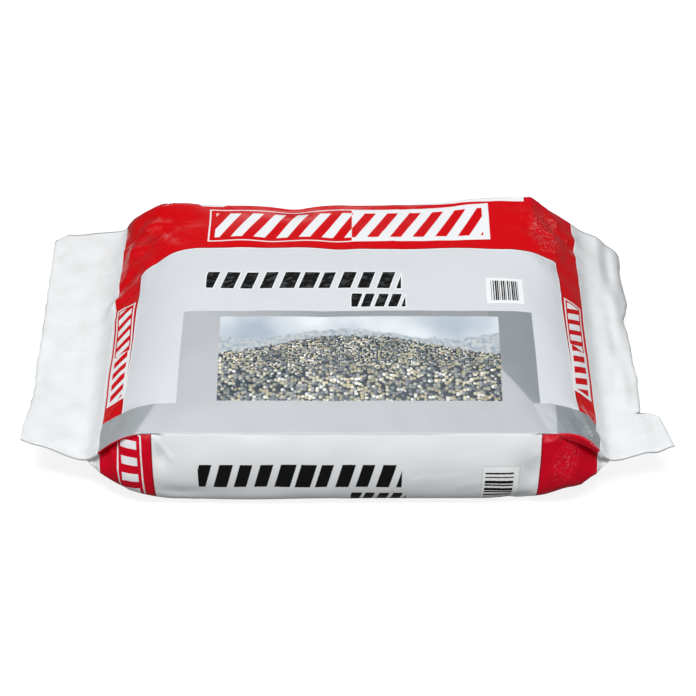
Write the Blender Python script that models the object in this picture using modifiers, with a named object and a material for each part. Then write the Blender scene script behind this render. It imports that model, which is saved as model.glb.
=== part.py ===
"""A filled 25 kg sack of dry concrete mix, lying flat on its back panel.

The sack is one tube of plastic film with a gusset down each long side. The tube is sealed flat across
both ends, which leaves a bare fin of film there, and beside each fin the gusset tucks in under the
front panel. Film and mix are one closed solid, because the mix is never seen.

Metres, +Z up. The origin is the centre of the flat underside, X runs along the sack from one fin to
the other, and -Y is the long side that faces the viewer.
"""

import math

import bmesh
import bpy
from mathutils import Vector

# The filled body
ROOT_X = 0.254  # where the film of both panels meets and a fin begins
CREASE_HALF_WIDTH = 0.160  # from the middle to the crease between front panel and gusset
CREASE_HEIGHT = 0.082
CROWN_HEIGHT = 0.096
CROWN_FLATNESS = 2.4  # 2 would be a parabola; more is flatter with a quicker fall to the crease
SHOULDER_REACH = 0.015  # of the side's upper control point past the crease
SHOULDER_DROP = 0.020
BELLY_REACH = 0.046  # of its lower control point past the underside
UNDERSIDE_HALF_WIDTH = 0.160
BACK_SWELL = 0.012  # extra height of the back's top crease, right of the middle
BACK_SWELL_FROM = 0.060
BACK_SWELL_FULL = 0.165
BACK_DIP = 0.0045  # hollow in the back's top crease, left of the middle
BACK_DIP_X = -0.060
BACK_DIP_HALF_LENGTH = 0.026
BACK_RISE = 0.003  # bump in it near the left end
BACK_RISE_X = -0.185
BACK_RISE_HALF_LENGTH = 0.022

# How the body tapers to its ends
CREASE_LEVEL_TO = 0.195
CROWN_LEVEL_TO = 0.150
UNDERSIDE_LEVEL_TO = 0.170
LEFT_FALL = 2.0  # a higher power keeps the end full for longer and then drops faster
RIGHT_FALL = 2.7
BACK_RIGHT_FALL = 1.1  # of the back's top crease at the right end
UNDERSIDE_RISE = 1.6
SEAM_HALF_WIDTH = 0.162
WEDGE_THICKNESS = 0.0034  # of the body where it ends in a fin

# The gusset's tuck beside each fin: film that goes in under the front panel and comes out again
GUSSET_WIDTH = 0.1042  # of the flat film between the two creases
TUCK_FROM = 0.190  # from the middle, where the gusset starts to lose its belly
BULGE_POWER = 2.2  # a higher power keeps the belly for longer
TUCK_OPENS_FROM = 0.2124
TUCK_OPENS_AT = 0.238
TUCK_CLOSES_FROM = 0.244
TUCK_CLOSES_AT = 0.252
TUCK_OPENING = 0.006
TUCK_INSET = 0.008  # how far inside the crease the film below the tuck comes out
TUCK_SLOPE = 0.12  # how much the tuck drops on its way in
LIP_LEFT = 0.003  # film that hangs from the top crease in front of the tuck, at the left end
LIP_RIGHT = 0.0075
LIP_FROM = 0.193
LIP_FULL = 0.2124
LIP_SPLAY = 0.2  # how far the lip leans out, as a share of its height
TUCK_FORMS_BY = 0.3  # how far open the tuck is where its columns have all reached their places

# The fins
FIN_HEIGHT = 0.041  # of the fin's root above the floor
FIN_THICKNESS = 0.0016
FIN_REACH = 0.318  # from the middle of the sack to a flat fin's outer edge
FIN_BURIED = 0.003  # how far a fin's sheet runs on inside the body
FIN_ROOT_HALF_WIDTH = 0.1605
FIN_FRONT_HALF_WIDTH = 0.149  # at the outer edge, where the corners are pulled in
FIN_BACK_HALF_WIDTH = 0.155
LEFT_CORNER_LIFT = 0.020  # of the left fin's front corner, which stands up
RIGHT_CORNER_LIFT = 0.008
CORNER_LIFT_FROM = 0.060  # from the middle, towards the front
DROOP_REACH = 0.2932  # the right fin's outer edge in its middle, where it hangs and curls under
DROOP_REACH_BACK = 0.3002
DROOP_LEFT_AT_FRONT = 0.098  # from the middle to where the folded-in gusset stiffens the fin again
DROOP_BLEND = 0.004
TAB_NEAR = (0.0996, 0.3006)  # corners of the right fin's front tab: towards the front, and reach
TAB_MIDDLE = (0.110, 0.3095)
TAB_FAR = (0.149, 0.3190)
DROOP_BACK = 0.028  # how far the hanging edge drops at the back
DROOP_MIDDLE = 0.012
DROOP_POWER = 1.5  # 1 would hang straight down from the root

# How finely the film is divided
BODY_STATIONS = 30
PANEL_COLUMNS = 12
GUSSET_COLUMNS = 8
FIN_STATIONS = 7
FIN_COLUMNS = 48
CREASE_SHARPNESS = 0.55
TUCK_SHARPNESS = 0.8
TUCK_PLY_COLUMNS = 3  # columns taken up by the film from the top crease to where it comes out

FILM_COLOUR = (0.72, 0.73, 0.75, 1.0)
FILM_ROUGHNESS = 0.35


def clear_scene():
    """Removes whatever the file holds."""
    for thing in list(bpy.data.objects):
        bpy.data.objects.remove(thing, do_unlink=True)


def smoothstep(low, high, value):
    """0 below low, 1 above high, with an easy start and end."""
    share = min(max((value - low) / (high - low), 0.0), 1.0)
    return share * share * (3.0 - 2.0 * share)


def mix(start, end, share):
    return start + (end - start) * share


# The body's outline at one station

def fullness(x, level_to, power):
    """1 where the body is full, falling to 0 at the fin's root."""
    share = min(max((abs(x) - level_to) / (ROOT_X - level_to), 0.0), 1.0)
    return 1.0 - share ** power


def top_fall(x, side=-1.0):
    if x < 0:
        return LEFT_FALL
    return BACK_RIGHT_FALL if side > 0 else RIGHT_FALL


def bump(x, middle, half_length):
    """1 at the middle, falling smoothly to nothing to both sides of it."""
    return math.exp(-((x - middle) / half_length) ** 2)


def top_crease(x, side):
    """(half width, height) of the crease between front panel and gusset, at the back for side 1."""
    full = fullness(x, CREASE_LEVEL_TO, top_fall(x, side))
    at_root = FIN_HEIGHT + WEDGE_THICKNESS / 2
    height = CREASE_HEIGHT
    if side > 0:
        height += BACK_SWELL * smoothstep(BACK_SWELL_FROM, BACK_SWELL_FULL, x)
        height += BACK_RISE * bump(x, BACK_RISE_X, BACK_RISE_HALF_LENGTH)
        height -= BACK_DIP * bump(x, BACK_DIP_X, BACK_DIP_HALF_LENGTH)
    return mix(SEAM_HALF_WIDTH, CREASE_HALF_WIDTH, full), mix(at_root, height, full)


def crown_height(x):
    at_root = FIN_HEIGHT + WEDGE_THICKNESS / 2
    return mix(at_root, CROWN_HEIGHT, fullness(x, CROWN_LEVEL_TO, top_fall(x)))


def bottom_crease(x):
    """(half width, height) of the crease between a gusset and the back panel."""
    full = fullness(x, UNDERSIDE_LEVEL_TO, UNDERSIDE_RISE)
    at_root = FIN_HEIGHT - WEDGE_THICKNESS / 2
    return mix(SEAM_HALF_WIDTH, UNDERSIDE_HALF_WIDTH, full), mix(at_root, 0.0, full)


def tuck_opening(x):
    """1 where the tuck is open, 0 where the gusset is smooth and where the tuck has closed again."""
    opens = smoothstep(TUCK_OPENS_FROM, TUCK_OPENS_AT, abs(x))
    return opens * (1.0 - smoothstep(TUCK_CLOSES_FROM, TUCK_CLOSES_AT, abs(x)))


def flap_point(start, low, swell, share):
    """A point of the film that faces the side, from its start at 0 to the bottom crease at 1."""
    drop = SHOULDER_DROP * (start[1] - low[1]) / CREASE_HEIGHT
    control = (
        start,
        (start[0] + SHOULDER_REACH * swell, start[1] - drop),
        (low[0] + BELLY_REACH * swell, low[1]),
        low,
    )
    rest = 1.0 - share
    weights = (rest ** 3, 3 * rest * rest * share, 3 * rest * share * share, share ** 3)
    return tuple(sum(w * point[k] for w, point in zip(weights, control)) for k in (0, 1))


def gusset_section(x, side):
    """The (half width, height) of every gusset column at x, from the top crease down.

    In the middle of the sack the columns are spread over one swollen curve. Where the tuck opens, the
    first of them go down the lip, in to the fold and out again, and the others share the flap below.
    """
    crease = top_crease(x, side)
    low = bottom_crease(x)
    opens = tuck_opening(x)
    past = min(max((abs(x) - TUCK_FROM) / (ROOT_X - TUCK_FROM), 0.0), 1.0)
    swell = 1.0 - past ** BULGE_POWER
    lip_height = (LIP_LEFT if x < 0 else LIP_RIGHT) * smoothstep(LIP_FROM, LIP_FULL, abs(x))
    lip_height *= 1.0 - smoothstep(TUCK_CLOSES_FROM, TUCK_CLOSES_AT, abs(x))
    lip = (crease[0] + LIP_SPLAY * lip_height, crease[1] - lip_height)
    leaves = (crease[0] - TUCK_INSET * opens, lip[1] - TUCK_OPENING * opens)
    spread = GUSSET_COLUMNS - TUCK_PLY_COLUMNS
    flap = [flap_point(leaves, low, swell, k / spread) for k in range(spread + 1)]
    length = sum(math.dist(p, q) for p, q in zip(flap, flap[1:]))
    depth = max((GUSSET_WIDTH - length - lip_height) / 2, 0.0) * opens
    fold = (crease[0] - depth, (lip[1] + leaves[1]) / 2 - TUCK_SLOPE * depth)
    tucked = [crease, lip, fold] + flap
    smooth = [flap_point(crease, low, swell, k / GUSSET_COLUMNS) for k in range(GUSSET_COLUMNS + 1)]
    formed = smoothstep(0.0, TUCK_FORMS_BY, opens)
    return [(mix(p[0], q[0], formed), mix(p[1], q[1], formed)) for p, q in zip(smooth, tucked)]


def gusset_point(x, side, column):
    half_width, height = gusset_section(x, side)[column]
    return Vector((x, side * half_width, height))


def front_panel_point(x, share):
    """From the back's top crease at 0 to the front's at 1, over the crown."""
    across = 1.0 - 2.0 * share
    half_width, height = top_crease(x, across)
    crown = (crown_height(x) - height) * (1.0 - abs(across) ** CROWN_FLATNESS)
    return Vector((x, across * half_width, height + crown))


def back_panel_point(x, share):
    """From the front's bottom crease at 0 to the back's at 1."""
    half_width, height = bottom_crease(x)
    return Vector((x, (2.0 * share - 1.0) * half_width, height))


def section_point(x, column):
    """Point number column of the closed section at x, counted from the back's top crease."""
    if column < PANEL_COLUMNS:
        return front_panel_point(x, column / PANEL_COLUMNS)
    column -= PANEL_COLUMNS
    if column < GUSSET_COLUMNS:
        return gusset_point(x, -1.0, column)
    column -= GUSSET_COLUMNS
    if column < PANEL_COLUMNS:
        return back_panel_point(x, column / PANEL_COLUMNS)
    column -= PANEL_COLUMNS
    return gusset_point(x, 1.0, GUSSET_COLUMNS - column)


def line_sharpness(x, column):
    """How sharply the film bends across the line that a column makes along the sack."""
    if column in (0, PANEL_COLUMNS):
        return CREASE_SHARPNESS
    below_front = column - PANEL_COLUMNS
    below_back = 2 * (PANEL_COLUMNS + GUSSET_COLUMNS) - column
    if 0 < below_front <= TUCK_PLY_COLUMNS or 0 < below_back <= TUCK_PLY_COLUMNS:
        return TUCK_SHARPNESS * tuck_opening(x)
    return 0.0


def station_x(index):
    """Stations crowd together towards the ends, where the shape changes fastest."""
    t = 2.0 * index / BODY_STATIONS - 1.0
    return ROOT_X * t * (1.5 - 0.5 * t * t)


# A fin's surface: out runs from 0 at the root to 1 at the outer edge, y across the sack

def fin_lift(lift, out, y):
    """How far a front corner stands above the fin's root."""
    return lift * out * smoothstep(CORNER_LIFT_FROM, FIN_FRONT_HALF_WIDTH, -y)


def tab_reach(y):
    """The slanted outer edge of the right fin's front tab."""
    for near, far in ((TAB_NEAR, TAB_MIDDLE), (TAB_MIDDLE, TAB_FAR)):
        if -y <= far[0]:
            share = max((-y - near[0]) / (far[0] - near[0]), 0.0)
            return mix(near[1], far[1], share)
    return TAB_FAR[1]


def fin_y(out, across):
    """across runs from -1 at the front edge to 1 at the back edge."""
    outer = FIN_FRONT_HALF_WIDTH if across < 0 else FIN_BACK_HALF_WIDTH
    return across * mix(FIN_ROOT_HALF_WIDTH, outer, out)


def left_fin_point(out, across):
    y = fin_y(out, across)
    return Vector((-mix(ROOT_X, FIN_REACH, out), y, FIN_HEIGHT + fin_lift(LEFT_CORNER_LIFT, out, y)))


def right_fin_point(out, across):
    """A tab with a slanted edge at the front, and behind that hanging down towards the back."""
    y = fin_y(out, across)
    hangs = smoothstep(-DROOP_LEFT_AT_FRONT - DROOP_BLEND, -DROOP_LEFT_AT_FRONT + DROOP_BLEND, y)
    drop = mix(DROOP_MIDDLE, DROOP_BACK, smoothstep(0.0, FIN_BACK_HALF_WIDTH, y))
    drop *= smoothstep(-DROOP_LEFT_AT_FRONT, 0.0, y)
    hanging_reach = mix(DROOP_REACH, DROOP_REACH_BACK, smoothstep(0.0, FIN_BACK_HALF_WIDTH, y))
    x = mix(ROOT_X, mix(tab_reach(y), hanging_reach, hangs), out)
    lift = fin_lift(RIGHT_CORNER_LIFT, out, y)
    return Vector((x, y, FIN_HEIGHT + lift - drop * max(out, 0.0) ** DROOP_POWER))


# Building the pieces

def film_material():
    film = bpy.data.materials.new("printed_film")
    film.use_nodes = True
    shader = film.node_tree.nodes["Principled BSDF"]
    shader.inputs["Base Color"].default_value = FILM_COLOUR
    shader.inputs["Roughness"].default_value = FILM_ROUGHNESS
    shader.inputs["Metallic"].default_value = 0.0
    return film


def object_from(name, bm, collection):
    mesh = bpy.data.meshes.new(name)
    bm.to_mesh(mesh)
    bm.free()
    thing = bpy.data.objects.new(name, mesh)
    collection.objects.link(thing)
    return thing


def build_body(collection):
    """A grid wrapped round the sections and closed at both ends, as a cage for subdivision."""
    columns = 2 * (PANEL_COLUMNS + GUSSET_COLUMNS)
    bm = bmesh.new()
    bmesh.ops.create_grid(bm, x_segments=BODY_STATIONS, y_segments=columns, size=0.5)
    column_of = bm.verts.layers.int.new("column")
    for vertex in bm.verts:
        station = round((vertex.co.x + 0.5) * BODY_STATIONS)
        column = round((vertex.co.y + 0.5) * columns) % columns
        vertex[column_of] = column
        vertex.co = section_point(station_x(station), column)
    bmesh.ops.remove_doubles(bm, verts=bm.verts, dist=1e-6)
    sharpness = bm.edges.layers.float.new("crease_edge")
    for edge in bm.edges:
        first, second = edge.verts
        if edge.is_boundary:
            edge[sharpness] = 1.0
        elif first[column_of] == second[column_of]:
            middle = (first.co.x + second.co.x) / 2
            edge[sharpness] = line_sharpness(middle, first[column_of])
    bmesh.ops.holes_fill(bm, edges=bm.edges)
    bmesh.ops.recalc_face_normals(bm, faces=bm.faces)
    body = object_from("filled_sack", bm, collection)
    rounding = body.modifiers.new("rounding", "SUBSURF")
    rounding.levels = 1
    rounding.render_levels = 1
    return body


def build_fin(name, point_at, collection):
    """A sheet of film from just inside the body to the outer edge, as thick as all its plies."""
    buried = -FIN_BURIED / (FIN_REACH - ROOT_X)
    bm = bmesh.new()
    bmesh.ops.create_grid(bm, x_segments=FIN_STATIONS, y_segments=FIN_COLUMNS, size=0.5)
    for vertex in bm.verts:
        vertex.co = point_at(mix(buried, 1.0, vertex.co.x + 0.5), 2.0 * vertex.co.y)
    fin = object_from(name, bm, collection)
    plies = fin.modifiers.new("plies", "SOLIDIFY")
    plies.thickness = FIN_THICKNESS
    plies.offset = 0.0
    fin.hide_render = True
    fin.display_type = "WIRE"
    return fin


def join_fin(body, fin):
    union = body.modifiers.new(fin.name, "BOOLEAN")
    union.operation = "UNION"
    union.solver = "EXACT"
    union.object = fin


def main():
    clear_scene()
    sack = bpy.data.collections.new("concrete_mix_sack")
    fins = bpy.data.collections.new("cutters")
    for collection in (sack, fins):
        bpy.context.scene.collection.children.link(collection)
    body = build_body(sack)
    join_fin(body, build_fin("left_fin", left_fin_point, fins))
    join_fin(body, build_fin("right_fin", right_fin_point, fins))
    body.data.materials.append(film_material())


main()
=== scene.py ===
"""The looks of a filled 25 kg sack of dry concrete mix that lies flat on its back panel.

The film is one tube, so every point of it has a place on the flat film: a runs along the sack from
its middle, b runs round the tube from the back's top crease, over the front panel, down the front
gusset, along the back panel and up the back gusset. The tube is laid over the mix, and then the film
is let find its own wrinkles: it hardly stretches, it bends, and it can't sink into the mix.
The print is worked out from a and b too, so it bends with the film.
"""

import math

import bpy
import numpy as np
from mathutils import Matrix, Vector


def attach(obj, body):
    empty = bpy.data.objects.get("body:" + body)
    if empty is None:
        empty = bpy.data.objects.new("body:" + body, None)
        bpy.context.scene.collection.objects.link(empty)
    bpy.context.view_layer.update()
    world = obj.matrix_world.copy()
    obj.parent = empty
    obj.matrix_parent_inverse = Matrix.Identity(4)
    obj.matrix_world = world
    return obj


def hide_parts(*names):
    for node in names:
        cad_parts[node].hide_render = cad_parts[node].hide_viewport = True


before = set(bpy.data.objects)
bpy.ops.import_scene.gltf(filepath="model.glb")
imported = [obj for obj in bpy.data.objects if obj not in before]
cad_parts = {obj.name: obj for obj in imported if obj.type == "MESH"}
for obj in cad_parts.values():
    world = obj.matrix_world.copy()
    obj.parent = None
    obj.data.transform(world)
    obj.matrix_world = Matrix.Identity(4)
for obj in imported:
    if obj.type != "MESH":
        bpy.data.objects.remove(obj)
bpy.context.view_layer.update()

# The film, flat
COLUMN = 0.00248  # width of a column of faces round the tube
PANEL_COLUMNS = 132
GUSSET_COLUMNS = 42
BACK_COLUMNS = 44  # the panel that lies on the floor, in columns three times as wide
PANEL = PANEL_COLUMNS * COLUMN
GUSSET = GUSSET_COLUMNS * COLUMN
ROUND = 2 * (PANEL + GUSSET)
BODY_HALF = 0.273  # film from the middle of the sack to the root of a fin
FIN = 0.064
BODY_ROWS = 216
FIN_ROWS = 24
MM = 1000.0
PANEL_MM = PANEL * MM
GUSSET_MM = GUSSET * MM
ROUND_MM = ROUND * MM
BODY_MM = BODY_HALF * MM

# Where the columns of the four sides begin
FRONT_CREASE = PANEL_COLUMNS
FRONT_FOOT = FRONT_CREASE + GUSSET_COLUMNS
BACK_FOOT = FRONT_FOOT + BACK_COLUMNS
COLUMNS = BACK_FOOT + GUSSET_COLUMNS

# The mix, as in the solid
ROOT_X = 0.254
CREASE_HALF_WIDTH = 0.160
CREASE_HEIGHT = 0.082
CROWN_HEIGHT = 0.096
CROWN_FLATNESS = 2.4
SHOULDER = (0.015, 0.020)  # the side's upper control point: out and down from the top crease
BELLY = 0.046
BACK_SWELL = 0.012
BACK_SWELL_SPAN = (0.060, 0.165)
CREASE_LEVEL_TO = 0.195
CROWN_LEVEL_TO = 0.150
UNDERSIDE_LEVEL_TO = 0.170
LEFT_FALL = 2.0
RIGHT_FALL = 2.7
BACK_RIGHT_FALL = 1.1
BACK_LEFT_END = 0.244  # where the back's top crease is down at the left fin's height
UNDERSIDE_RISE = 1.6
SEAM_HALF_WIDTH = 0.162
FIN_HEIGHT = 0.041

# The gusset's tuck beside each fin
TUCK_FROM = 0.190
BULGE_POWER = 2.2
LIP_LEFT = 0.0030  # film that shows below the top crease before the tuck goes in
LIP_RIGHT = 0.0075
OPENING_LEFT = 0.0060
OPENING_RIGHT = 0.0085
INSET = 0.0080  # how far inside the crease the film below the tuck comes out
TUCK_SLOPE = 0.12
LIP_SPLAY = 0.2  # how far the lip leans out, as a share of its height
GUSSET_LAG = 2.5  # how far down the gusset its film keeps to the line of the top crease
# Shares of the way from TUCK_FROM to the fin between which each of these happens
LIP_GROWS = (0.05, 0.35)
LIP_ENDS = (0.86, 1.0)
TUCK_OPENS = (0.35, 0.75)
TUCK_CLOSES = (0.92, 1.0)
SIDE_POINTS = 80

# The fins
FIN_FRONT_HALF_WIDTH = 0.149
FIN_BACK_HALF_WIDTH = 0.155
LEFT_CORNER_LIFT = 0.020
RIGHT_CORNER_LIFT = 0.008
CORNER_LIFT_FROM = 0.060
HANGING_FROM = -0.098  # y where the right fin's outer edge starts to curl under
HANGING_BLEND = 0.004
CURL_AT = 0.036  # film from the root to the curl, at the front
CURL_AT_BACK = 0.043
TAB_PLACES = (0.096, 0.100, 0.110, 0.149)  # -y along the slanted edge of the right fin's front tab
TAB_REACHES = (0.043, 0.0466, 0.0555, 0.0650)
CURL_RADIUS = 0.0032
DROOP_BACK = 0.027
DROOP_MIDDLE = 0.010
DROOP_POWER = 1.4
DROOP_OVER = 0.040
DROOP_FULL_AT = 0.020  # y
FOLDED_CORNER = 0.010  # of the left fin's outer back corner
FOLDED_DROP = 0.007
LEFT_SAG = 0.0025
# Waves of an outer edge: height, length and seed
LEFT_EDGE = ((0.0008, 0.060, 8), (0.0004, 0.018, 9))
RIGHT_EDGE = ((0.0014, 0.070, 5), (0.0005, 0.022, 6))
PLY_GAP = 0.0003
TOP_PLY = FIN_HEIGHT + 1.5 * PLY_GAP
LOW_PLY = FIN_HEIGHT - 1.5 * PLY_GAP
ROOT_BEND = 0.016  # film to each side of a fin's root over which its bend is rounded
ROOT_ROUNDING = 14

# How the film settles
RELAX_STEPS = 80
STRETCH = 1.0
SQUEEZE = 0.25
SHEAR = 0.35
BEND = 0.05
HOLD_OUT = 0.03  # pull towards the mix from outside
HOLD_IN = 0.35  # push of the mix against film that has sunk in
HOLD_ALONG = 0.004
FLOOR_HOLD = 0.5
FIN_HOLD = 0.15
FIN_HOLD_BEFORE = 0.004  # how far before a fin's root its hold begins
NUDGE = 0.00012  # unevenness that the film starts with
EASE_ALONG = 1.004
EASE_ROUND = 1.006
SEED = 7


def smoothstep(low, high, value):
    share = np.clip((value - low) / (high - low), 0.0, 1.0)
    return share * share * (3.0 - 2.0 * share)


def mix(start, end, share):
    return start + (end - start) * share


def waves(x, y, length, seed, count=28):
    """A smooth random field of about unit height, whose bumps are length apart."""
    draw = np.random.default_rng(seed)
    total = 0.0
    for _ in range(count):
        turn, phase = draw.uniform(0.0, 2.0 * math.pi, 2)
        number = 2.0 * math.pi / (length * draw.uniform(0.75, 1.35))
        total = total + np.cos(number * (x * math.cos(turn) + y * math.sin(turn)) + phase)
    return total / math.sqrt(count / 2.0)


def steps(line):
    """Lengths of the steps from each point of a line to the next."""
    return np.linalg.norm(np.diff(line, axis=0), axis=-1)


def unit(vectors):
    return vectors / np.maximum(np.linalg.norm(vectors, axis=-1, keepdims=True), 1e-12)


# The film's flat pattern

def rows():
    """a of each row, from the left fin's edge to the right fin's."""
    fin = np.linspace(BODY_HALF, BODY_HALF + FIN, FIN_ROWS + 1)[1:]
    body = np.linspace(-BODY_HALF, BODY_HALF, BODY_ROWS + 1)
    return np.concatenate([-fin[::-1], body, fin])


def columns():
    """b of each column, and b where the tube closes as the last."""
    narrow, wide = COLUMN, PANEL / BACK_COLUMNS
    widths = [narrow] * FRONT_FOOT + [wide] * BACK_COLUMNS + [narrow] * GUSSET_COLUMNS
    return np.concatenate([[0.0], np.cumsum(widths)])


# The mix's surface, which the film is laid on

def fullness(x, level_to, power, end=ROOT_X):
    share = np.clip((abs(x) - level_to) / (end - level_to), 0.0, 1.0)
    return 1.0 - share ** power


def top_fall(x, side=-1.0):
    right = np.where(np.asarray(side) > 0, BACK_RIGHT_FALL, RIGHT_FALL)
    return np.where(x < 0, LEFT_FALL, right)


def top_crease(x, side):
    at_back = np.asarray(side) > 0
    end = np.where(at_back & (x < 0), BACK_LEFT_END, ROOT_X)
    full = fullness(x, CREASE_LEVEL_TO, top_fall(x, side), end)
    swell = np.where(at_back, BACK_SWELL, 0.0) * smoothstep(*BACK_SWELL_SPAN, x)
    return mix(SEAM_HALF_WIDTH, CREASE_HALF_WIDTH, full), mix(TOP_PLY, CREASE_HEIGHT + swell, full)


def bottom_crease(x):
    full = fullness(x, UNDERSIDE_LEVEL_TO, UNDERSIDE_RISE)
    return mix(SEAM_HALF_WIDTH, CREASE_HALF_WIDTH, full), mix(LOW_PLY, 0.0, full)


def front_panel(x, share):
    across = 1.0 - 2.0 * share
    half_width, height = top_crease(x, across)
    crown = mix(TOP_PLY, CROWN_HEIGHT, fullness(x, CROWN_LEVEL_TO, top_fall(x)))
    return across * half_width, height + (crown - height) * (1.0 - abs(across) ** CROWN_FLATNESS)


def back_panel(x, share):
    half_width, height = bottom_crease(x)
    return tuple(np.broadcast_arrays((2.0 * share - 1.0) * half_width, height))


def gusset_line(x, side):
    """The gusset's section at one place along the sack, as a fine line from its top crease down.

    In the middle of the sack it is one swollen curve. Towards a fin the film that this curve no longer
    needs goes in under the top crease as a tuck, until at the fin all of it is folded flat in two.
    """
    half_width, height = top_crease(x, side)
    low_half_width, low_height = bottom_crease(x)
    tuck = np.clip((abs(x) - TUCK_FROM) / (ROOT_X - TUCK_FROM), 0.0, 1.0)
    swell = 1.0 - tuck ** BULGE_POWER
    opens = smoothstep(*TUCK_OPENS, tuck) * (1.0 - smoothstep(*TUCK_CLOSES, tuck))
    hangs = smoothstep(*LIP_GROWS, tuck) * (1.0 - smoothstep(*LIP_ENDS, tuck))
    lip = height - (LIP_LEFT if x < 0 else LIP_RIGHT) * hangs
    leaves = lip - (OPENING_LEFT if x < 0 else OPENING_RIGHT) * opens
    inner = half_width - INSET * opens
    t = np.linspace(0.0, 1.0, SIDE_POINTS)
    rest = 1.0 - t
    weights = (rest ** 3, 3 * rest * rest * t, 3 * rest * t * t, t ** 3)
    drop = SHOULDER[1] * (leaves - low_height) / CREASE_HEIGHT
    out = (inner, half_width + SHOULDER[0] * swell, low_half_width + BELLY * swell, low_half_width)
    up = (leaves, leaves - drop, low_height, low_height)
    flap = np.stack([sum(w * v for w, v in zip(weights, line)) for line in (out, up)], axis=1)
    depth = max((GUSSET - steps(flap).sum() - (height - lip)) / 2, 0.0)
    fold = (half_width - depth, (lip + leaves) / 2 - TUCK_SLOPE * depth * opens)
    start = [(half_width, height), (half_width + LIP_SPLAY * (height - lip), lip)]
    inward = [(mix(half_width, fold[0], s), mix(lip, fold[1], s)) for s in np.linspace(0.1, 1.0, 10)]
    outward = [(mix(fold[0], inner, s), mix(fold[1], leaves, s)) for s in np.linspace(0.1, 0.9, 9)]
    return np.concatenate([start, inward, outward, flap])


def gusset(x, side, share):
    """(y, z) of the gusset at the places x, which run down the first axis, and shares of its film."""
    y = np.empty((len(x), len(share)))
    z = np.empty_like(y)
    for i, place in enumerate(x.ravel()):
        line = gusset_line(place, side)
        gone = np.concatenate([[0.0], np.cumsum(steps(line))])
        y[i] = side * np.interp(share * gone[-1], gone, line[:, 0])
        z[i] = np.interp(share * gone[-1], gone, line[:, 1])
    return y, z


def section(x):
    """(y, z) of every column at the places x, which run down the first axis."""
    b = columns()
    top = front_panel(x, b[:FRONT_CREASE] / PANEL)
    front = gusset(x, -1.0, (b[FRONT_CREASE:FRONT_FOOT] - PANEL) / GUSSET)
    under = back_panel(x, (b[FRONT_FOOT:BACK_FOOT] - PANEL - GUSSET) / PANEL)
    back = gusset(x, 1.0, (ROUND - b[BACK_FOOT:COLUMNS]) / GUSSET)
    return tuple(np.concatenate(parts, axis=1) for parts in zip(top, front, under, back))


def lay_body(a):
    """Film laid on the mix. Each line of a panel along the sack is spread evenly over its own length,
    and the lines of a gusset keep to the creases at its two sides."""
    turn = np.linspace(-math.pi / 2, math.pi / 2, 900)
    x = ROOT_X * np.sin(turn)
    y, z = section(x[:, None])
    places = np.stack([np.broadcast_to(x[:, None], y.shape), y, z], axis=2)
    gone = np.concatenate([np.zeros((1, COLUMNS)), np.cumsum(steps(places), axis=0)])
    reached = np.empty((len(a), COLUMNS))
    for j in range(COLUMNS):
        reached[:, j] = np.interp((a + BODY_HALF) / (2 * BODY_HALF) * gone[-1, j], gone[:, j], x)
    for top, foot, turn in ((FRONT_CREASE, FRONT_FOOT, 1), (0, BACK_FOOT, -1)):
        start, end = reached[:, top].copy(), reached[:, foot].copy()
        for n in range(1, GUSSET_COLUMNS):
            share = (n / GUSSET_COLUMNS) ** GUSSET_LAG
            reached[:, (top + turn * n) % COLUMNS] = mix(start, end, share)
    laid = np.empty((len(a), COLUMNS, 3))
    laid[..., 0] = reached
    for j in range(COLUMNS):
        laid[:, j, 1] = np.interp(reached[:, j], x, y[:, j])
        laid[:, j, 2] = np.interp(reached[:, j], x, z[:, j])
    return laid


# The fins

def fin_y(out, across):
    outer = np.where(across < 0, FIN_FRONT_HALF_WIDTH, FIN_BACK_HALF_WIDTH)
    return across * mix(SEAM_HALF_WIDTH, outer, out)


def edge_waves(y, listed):
    return sum(height * waves(y, 0.0 * y, length, seed) for height, length, seed in listed)


def corner_lift(lift, out, y):
    return lift * out * smoothstep(CORNER_LIFT_FROM, FIN_FRONT_HALF_WIDTH, -y)


def left_fin(out, across):
    y = fin_y(out, across)
    x = ROOT_X + (FIN + edge_waves(y, LEFT_EDGE)) * out
    beyond = (x - ROOT_X - FIN + y - FIN_BACK_HALF_WIDTH + FOLDED_CORNER) / FOLDED_CORNER
    fold = FOLDED_DROP * smoothstep(0.0, 1.0, beyond)
    soft = 0.0005 * waves(out * FIN * 1.5, y * 0.6, 0.045, 11) * out
    crinkle = 0.0007 * crumple(out * FIN, y, 0.034, 12) * smoothstep(0.05, 0.30, out)
    sag = LEFT_SAG * smoothstep(0.0, 0.5, out) * (1.0 - (y / SEAM_HALF_WIDTH) ** 2)
    return -x, y, FIN_HEIGHT + corner_lift(LEFT_CORNER_LIFT, out, y) - fold + soft + crinkle - sag


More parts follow.
